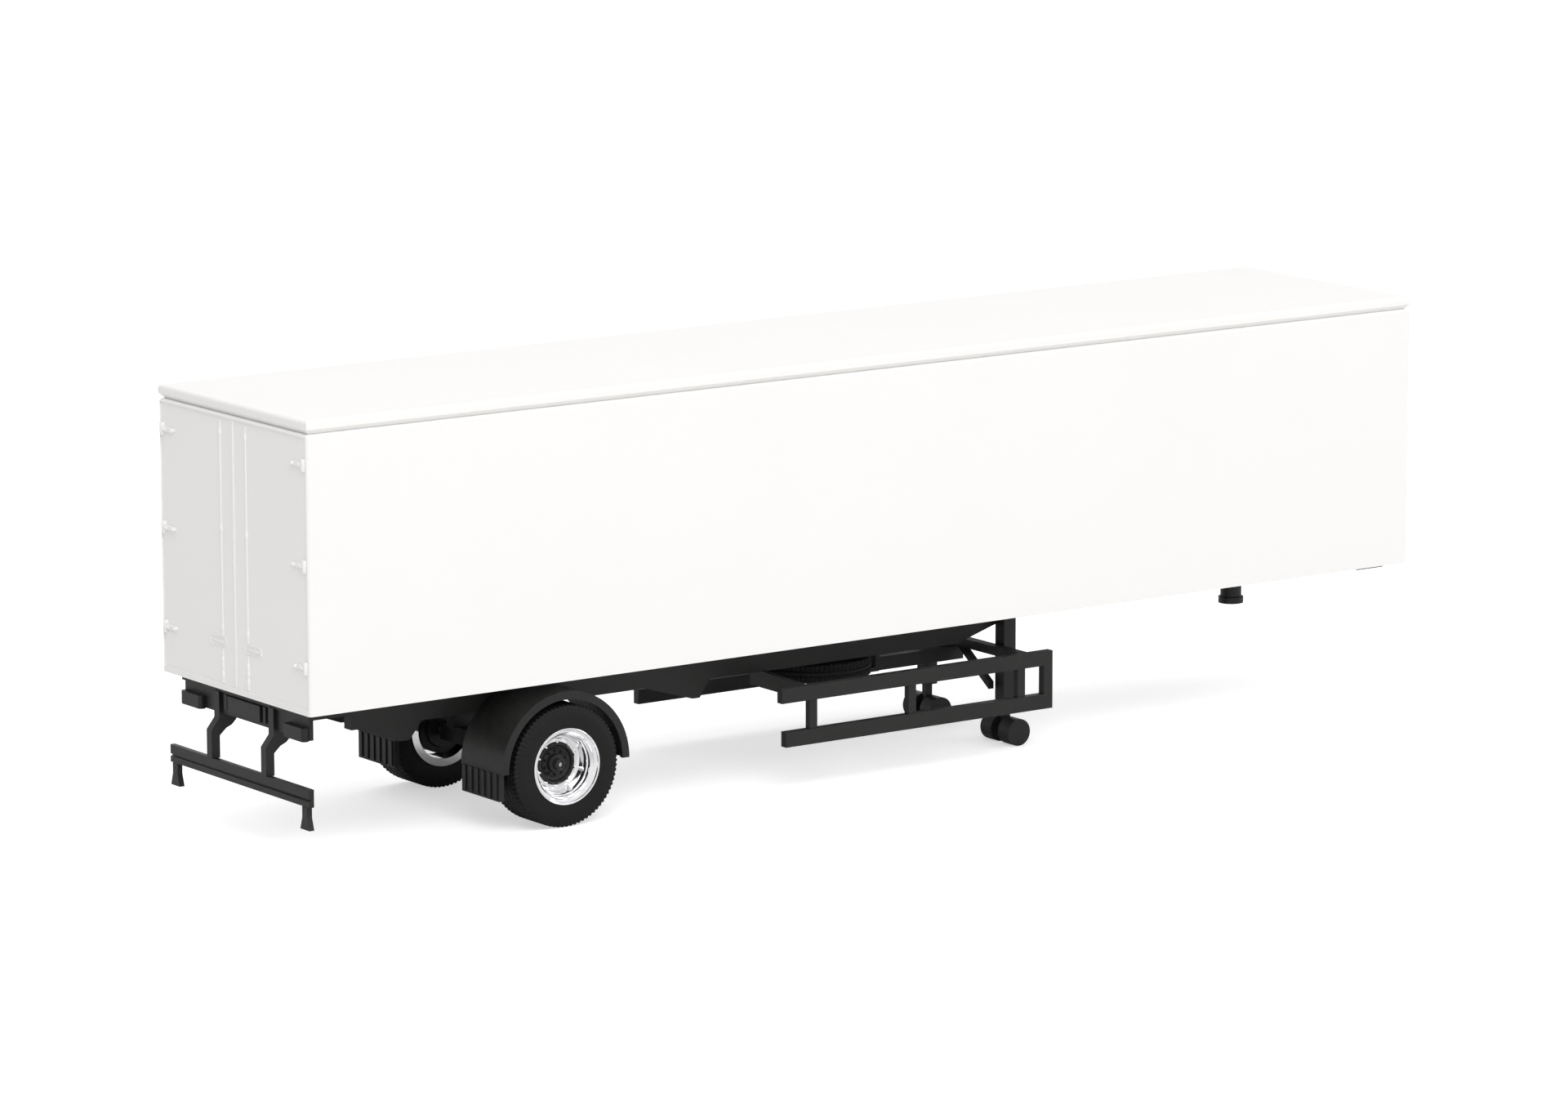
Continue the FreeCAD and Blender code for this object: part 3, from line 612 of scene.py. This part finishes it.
@dataclass
class DoorRelief:
    """Moulded relief of the rear doors: seam rib, lock rods, handle recesses and hinges. Sizes in mm."""

    rod_y: float = 2.5
    rod_radius: float = 0.16
    rib_width: float = 0.34
    handle_height: float = 5.05
    handle_size: tuple[float, float] = (3.3, 1.0)
    hinge_heights: tuple[float, ...] = (4.9, 15.4, 25.8)
    hinge_length: float = 2.3

    def rod(self, name: str, y: float, face: float, low: float, high: float) -> bpy.types.Object:
        """Upright rod with collars; its radius swells by a raised cosine at each collar."""
        height = np.linspace(low, high, 121)
        collars = np.array([low + 0.9, low + 0.5 * (high - low), high - 1.2])
        near = np.abs(height[:, None] - collars).min(axis=1) / 0.42
        radius = self.rod_radius + 0.09 * np.where(near < 1, 0.5 + 0.5 * np.cos(np.pi * near), 0) ** 0.4
        rows = np.concatenate([[(0.0, low)], np.stack([radius, height], axis=1), [(0.0, high)]])
        return lathe(name, rows, (face + 0.05, y, 0.0), "Z", 16)

    def hinge(self, name: str, side: int, edge: float, face: float, z: float) -> bpy.types.Object:
        """Hinge of a knuckle on the door's edge and a tapered strap with two rivets."""
        knuckle_rows = np.array([(0.0, -0.68), (0.3, -0.65), (0.36, -0.55),
                                 (0.36, 0.55), (0.3, 0.65), (0.0, 0.68)])
        knuckle = lathe(name + "_knuckle", knuckle_rows, (face - 0.05, side * (edge - 0.42), z), "Z", 20)
        inner = edge - 0.5 - self.hinge_length
        outline = np.array([(side * (edge - 0.35), z - 0.36), (side * (edge - 0.35), z + 0.36),
                            (side * (inner + 0.6), z + 0.2), (side * inner, z + 0.13),
                            (side * inner, z - 0.13), (side * (inner + 0.6), z - 0.2)])
        strap = prism(name + "_strap", outline, (face - 0.24, face + 0.05), "X", 0.06)
        rivets = []
        for share in (0.25, 0.85):
            y = side * (edge - 0.45 - share * self.hinge_length)
            rows = np.array([(0.0, -0.26), (0.24, -0.2), (0.32, 0.0), (0.24, 0.2), (0.0, 0.26)])
            rivets.append(lathe(f"{name}_rivet_{share}", rows, (face - 0.12, y, z), "Z", 12))
        return joined(name, [knuckle, strap] + rivets)

    def handle(self, name: str, y: float, face: float, z: float) -> bpy.types.Object:
        """Shallow handle dish: a rounded frame with a lever across it."""
        half_y, half_z = self.handle_size[0] / 2, self.handle_size[1] / 2
        steps = 48
        turn = np.linspace(0, 2 * np.pi, steps, endpoint=False)
        across = y + half_y * np.sign(np.cos(turn)) * np.abs(np.cos(turn)) ** 0.35
        up = z + half_z * np.sign(np.sin(turn)) * np.abs(np.sin(turn)) ** 0.35
        rings = [(1.0, 0.06), (1.0, -0.08), (0.93, -0.1), (0.86, -0.04), (0.84, 0.03)]
        layers = [np.stack([np.full(steps, face + depth), y + (across - y) * size, z + (up - z) * size],
                           axis=1)
                  for size, depth in rings]
        points = np.concatenate(layers) * MM
        frame = mesh_piece(name + "_frame", points, grid_faces(len(rings), steps, True, True))
        lever = prism(name + "_lever", box_outline((y - 0.8 * half_y, z - 0.16), (y + 0.8 * half_y, z + 0.1)),
                      (face - 0.09, face + 0.04), "X", 0.04)
        return joined(name, [frame, lever])

    def build(self, materials: dict[Slot, bpy.types.Material]) -> None:
        """Builds and dresses the relief on both doors."""
        low, high = (np.array(corner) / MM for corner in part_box("rear_door_left"))
        floor_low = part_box("floor")[0][2] / MM
        face, edge = low[0], high[1]
        half_rib = self.rib_width / 2
        rib_outline = box_outline((-half_rib, low[2]), (half_rib, high[2]))
        rib = prism("door_seam_rib", rib_outline, (face - 0.12, face + 0.1), "X", 0.06)
        place(rib, Body.TRAILER, Slot.WHITE, materials[Slot.WHITE])
        handle_z = floor_low + self.handle_height
        for side, label in ((1, "left"), (-1, "right")):
            y = side * self.rod_y
            rods = [self.rod(f"rod_a_{label}", y, face, low[2] + 0.05, handle_z - 0.7),
                    self.rod(f"rod_b_{label}", y, face, handle_z + 0.6, high[2] - 0.4)]
            place(joined(f"lock_rods_{label}", rods), Body.TRAILER, Slot.WHITE, materials[Slot.WHITE])
            handle = self.handle(f"lock_handle_{label}", side * (self.rod_y + 0.95), face, handle_z)
            place(handle, Body.TRAILER, Slot.WHITE, materials[Slot.WHITE])
            hinges = [self.hinge(f"hinge_{label}_{index}", side, edge, face, floor_low + height)
                      for index, height in enumerate(self.hinge_heights)]
            place(joined(f"door_hinges_{label}", hinges), Body.TRAILER, Slot.WHITE, materials[Slot.WHITE])


@dataclass
class UnderrideBar:
    """Underride bar with a groove along its rear face. Sizes in mm."""

    groove_share: float = 0.6
    groove_depth: float = 0.22
    groove_width: float = 0.24

    def build(self, materials: dict[Slot, bpy.types.Material]) -> None:
        """Carries the bar's section, a rounded rectangle with a notch, along Y."""
        low, high = (np.array(corner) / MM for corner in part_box("underride_bar"))
        z = high[2] - self.groove_share * (high[2] - low[2])
        half = self.groove_width / 2
        outline = np.array([(low[0], low[2]), (high[0], low[2]), (high[0], high[2]), (low[0], high[2]),
                            (low[0], z + half), (low[0] + self.groove_depth, z + half * 0.6),
                            (low[0] + self.groove_depth, z - half * 0.6), (low[0], z - half)])
        bar = prism("underride_bar_skin", outline, (low[1], high[1]), "Y", 0.07)
        place(bar, Body.TRAILER, Slot.BLACK, materials[Slot.BLACK], "underride_bar")


# --- stage ---


@dataclass(frozen=True)
class Studio:
    """Camera, soft lights, white floor and white surroundings. Sizes in mm, angles in degrees."""

    target: tuple[float, float, float] = (-3.3, 0.0, 23.2)
    distance: float = 762.5
    azimuth: float = -35.41
    elevation: float = 10.54
    roll: float = -0.08
    lens: float = 161.63
    world: float = 0.62
    key_watts: float = 2.8
    top_watts: float = 1.0
    front_watts: float = 0.8
    floor_size: float = 4000.0
    floor_glow: float = 0.52

    def camera(self) -> None:
        """Places the camera on its sight line to the target."""
        azimuth, elevation = math.radians(self.azimuth), math.radians(self.elevation)
        back = Vector((math.sin(azimuth) * math.cos(elevation), -math.cos(azimuth) * math.cos(elevation),
                       math.sin(elevation)))
        data = bpy.data.cameras.new("camera")
        data.lens = self.lens
        data.sensor_width = 36.0
        data.clip_start, data.clip_end = 0.01, 20.0
        camera = bpy.data.objects.new("camera", data)
        camera.location = (Vector(self.target) + self.distance * back) * MM
        turn = back.to_track_quat("Z", "Y").to_euler()
        camera.rotation_euler = turn
        camera.rotation_euler.rotate_axis("Z", math.radians(self.roll))
        bpy.context.scene.collection.objects.link(camera)
        bpy.context.scene.camera = camera

    def lamp(self, name: str, place_mm: tuple[float, float, float], size: float, power: float) -> None:
        """Adds a soft square lamp that faces the trailer."""
        data = bpy.data.lights.new(name, "AREA")
        data.size = size * MM
        data.energy = power
        lamp = bpy.data.objects.new(name, data)
        lamp.location = Vector(place_mm) * MM
        lamp.rotation_euler = lamp.location.to_track_quat("Z", "Y").to_euler()
        bpy.context.scene.collection.objects.link(lamp)

    def world_light(self) -> None:
        """Even surroundings: white to the camera and to mirrors, a plain level as light."""
        world = bpy.data.worlds.new("studio")
        bpy.context.scene.world = world
        world.use_nodes = True
        nodes, links = world.node_tree.nodes, world.node_tree.links
        shader = nodes["Background"]
        shader.inputs["Color"].default_value = (1, 1, 1, 1)
        path = nodes.new("ShaderNodeLightPath")
        mirror = nodes.new("ShaderNodeMath")
        mirror.operation = "MAXIMUM"
        links.new(path.outputs["Is Glossy Ray"], mirror.inputs[0])
        links.new(path.outputs["Is Transmission Ray"], mirror.inputs[1])
        seen = nodes.new("ShaderNodeMath")
        seen.operation = "MAXIMUM"
        links.new(path.outputs["Is Camera Ray"], seen.inputs[0])
        links.new(mirror.outputs["Value"], seen.inputs[1])
        level = nodes.new("ShaderNodeMapRange")
        level.inputs["To Min"].default_value = self.world
        level.inputs["To Max"].default_value = 1.0
        links.new(seen.outputs["Value"], level.inputs["Value"])
        links.new(level.outputs["Result"], shader.inputs["Strength"])

    def floor(self) -> None:
        """White floor that keeps the trailer's shadow."""
        half = self.floor_size / 2
        points = np.array([(-half, -half, 0), (half, -half, 0), (half, half, 0), (-half, half, 0)]) * MM
        mesh = bpy.data.meshes.new("studio_floor")
        mesh.from_pydata(points.tolist(), [], [(0, 1, 2, 3)])
        floor = bpy.data.objects.new("studio_floor", mesh)
        bpy.context.scene.collection.objects.link(floor)
        material = bpy.data.materials.new("floor_paper")
        material.use_nodes = True
        nodes, links = material.node_tree.nodes, material.node_tree.links
        shader = nodes["Principled BSDF"]
        shader.inputs["Base Color"].default_value = (0.82, 0.82, 0.82, 1)
        shader.inputs["Roughness"].default_value = 0.9
        shader.inputs["Specular IOR Level"].default_value = 0.1
        path = nodes.new("ShaderNodeLightPath")
        lift = nodes.new("ShaderNodeMath")
        lift.operation = "MULTIPLY"
        lift.inputs[1].default_value = self.floor_glow
        links.new(path.outputs["Is Camera Ray"], lift.inputs[0])
        shader.inputs["Emission Color"].default_value = (1, 1, 1, 1)
        links.new(lift.outputs["Value"], shader.inputs["Emission Strength"])
        mesh.materials.append(material)

    def build(self) -> None:
        """Sets the whole stage."""
        self.camera()
        self.world_light()
        self.lamp("key", (-250, -520, 520), 500, self.key_watts)
        self.lamp("top", (60, 120, 700), 600, self.top_watts)
        self.lamp("front", (520, -300, 300), 400, self.front_watts)
        self.floor()
        bpy.context.scene.view_settings.view_transform = "Standard"


def dress_nodes(frame: dict, materials: dict[Slot, bpy.types.Material]) -> None:
    """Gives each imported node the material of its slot.

    Args:
        materials: The material of each slot.
    """
    slots = {row["node"]: Slot(row["material_slot"]) for row in frame["record"]["subparts"]}
    for name, node in frame["nodes"].items():
        material = materials[slots[name]]
        for index in range(max(1, len(node.material_slots))):
            if index < len(node.material_slots):
                node.material_slots[index].material = material
            else:
                node.data.materials.append(material)


def build_wheels(materials: dict[Slot, bpy.types.Material]) -> None:
    """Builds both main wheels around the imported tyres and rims."""
    for side, label in ((1, "left"), (-1, "right")):
        low, high = (np.array(corner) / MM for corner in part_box(f"tyre_{label}"))
        centre = (low + high) / 2
        face = max(abs(low[1]), abs(high[1]))
        wheel = Wheel(side, centre, face, lip_radius=4.1, seat=3.85, width=high[1] - low[1],
                      radius=(high[0] - low[0]) / 2)
        wheel.build(materials)


def main() -> None:
    """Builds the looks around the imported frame."""
    logging.basicConfig(level=logging.INFO, format="%(name)s: %(message)s")
    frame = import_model()
    moulding, dust = moulding_group(), dust_group()
    materials = {slot: finish.build(moulding, dust) for slot, finish in FINISHES.items()}
    dress_nodes(frame, materials)
    build_wheels(materials)
    SpareWheel().build(materials)
    DoorRelief().build(materials)
    UnderrideBar().build(materials)
    Studio().build()


if __name__ == "__main__":
    main()
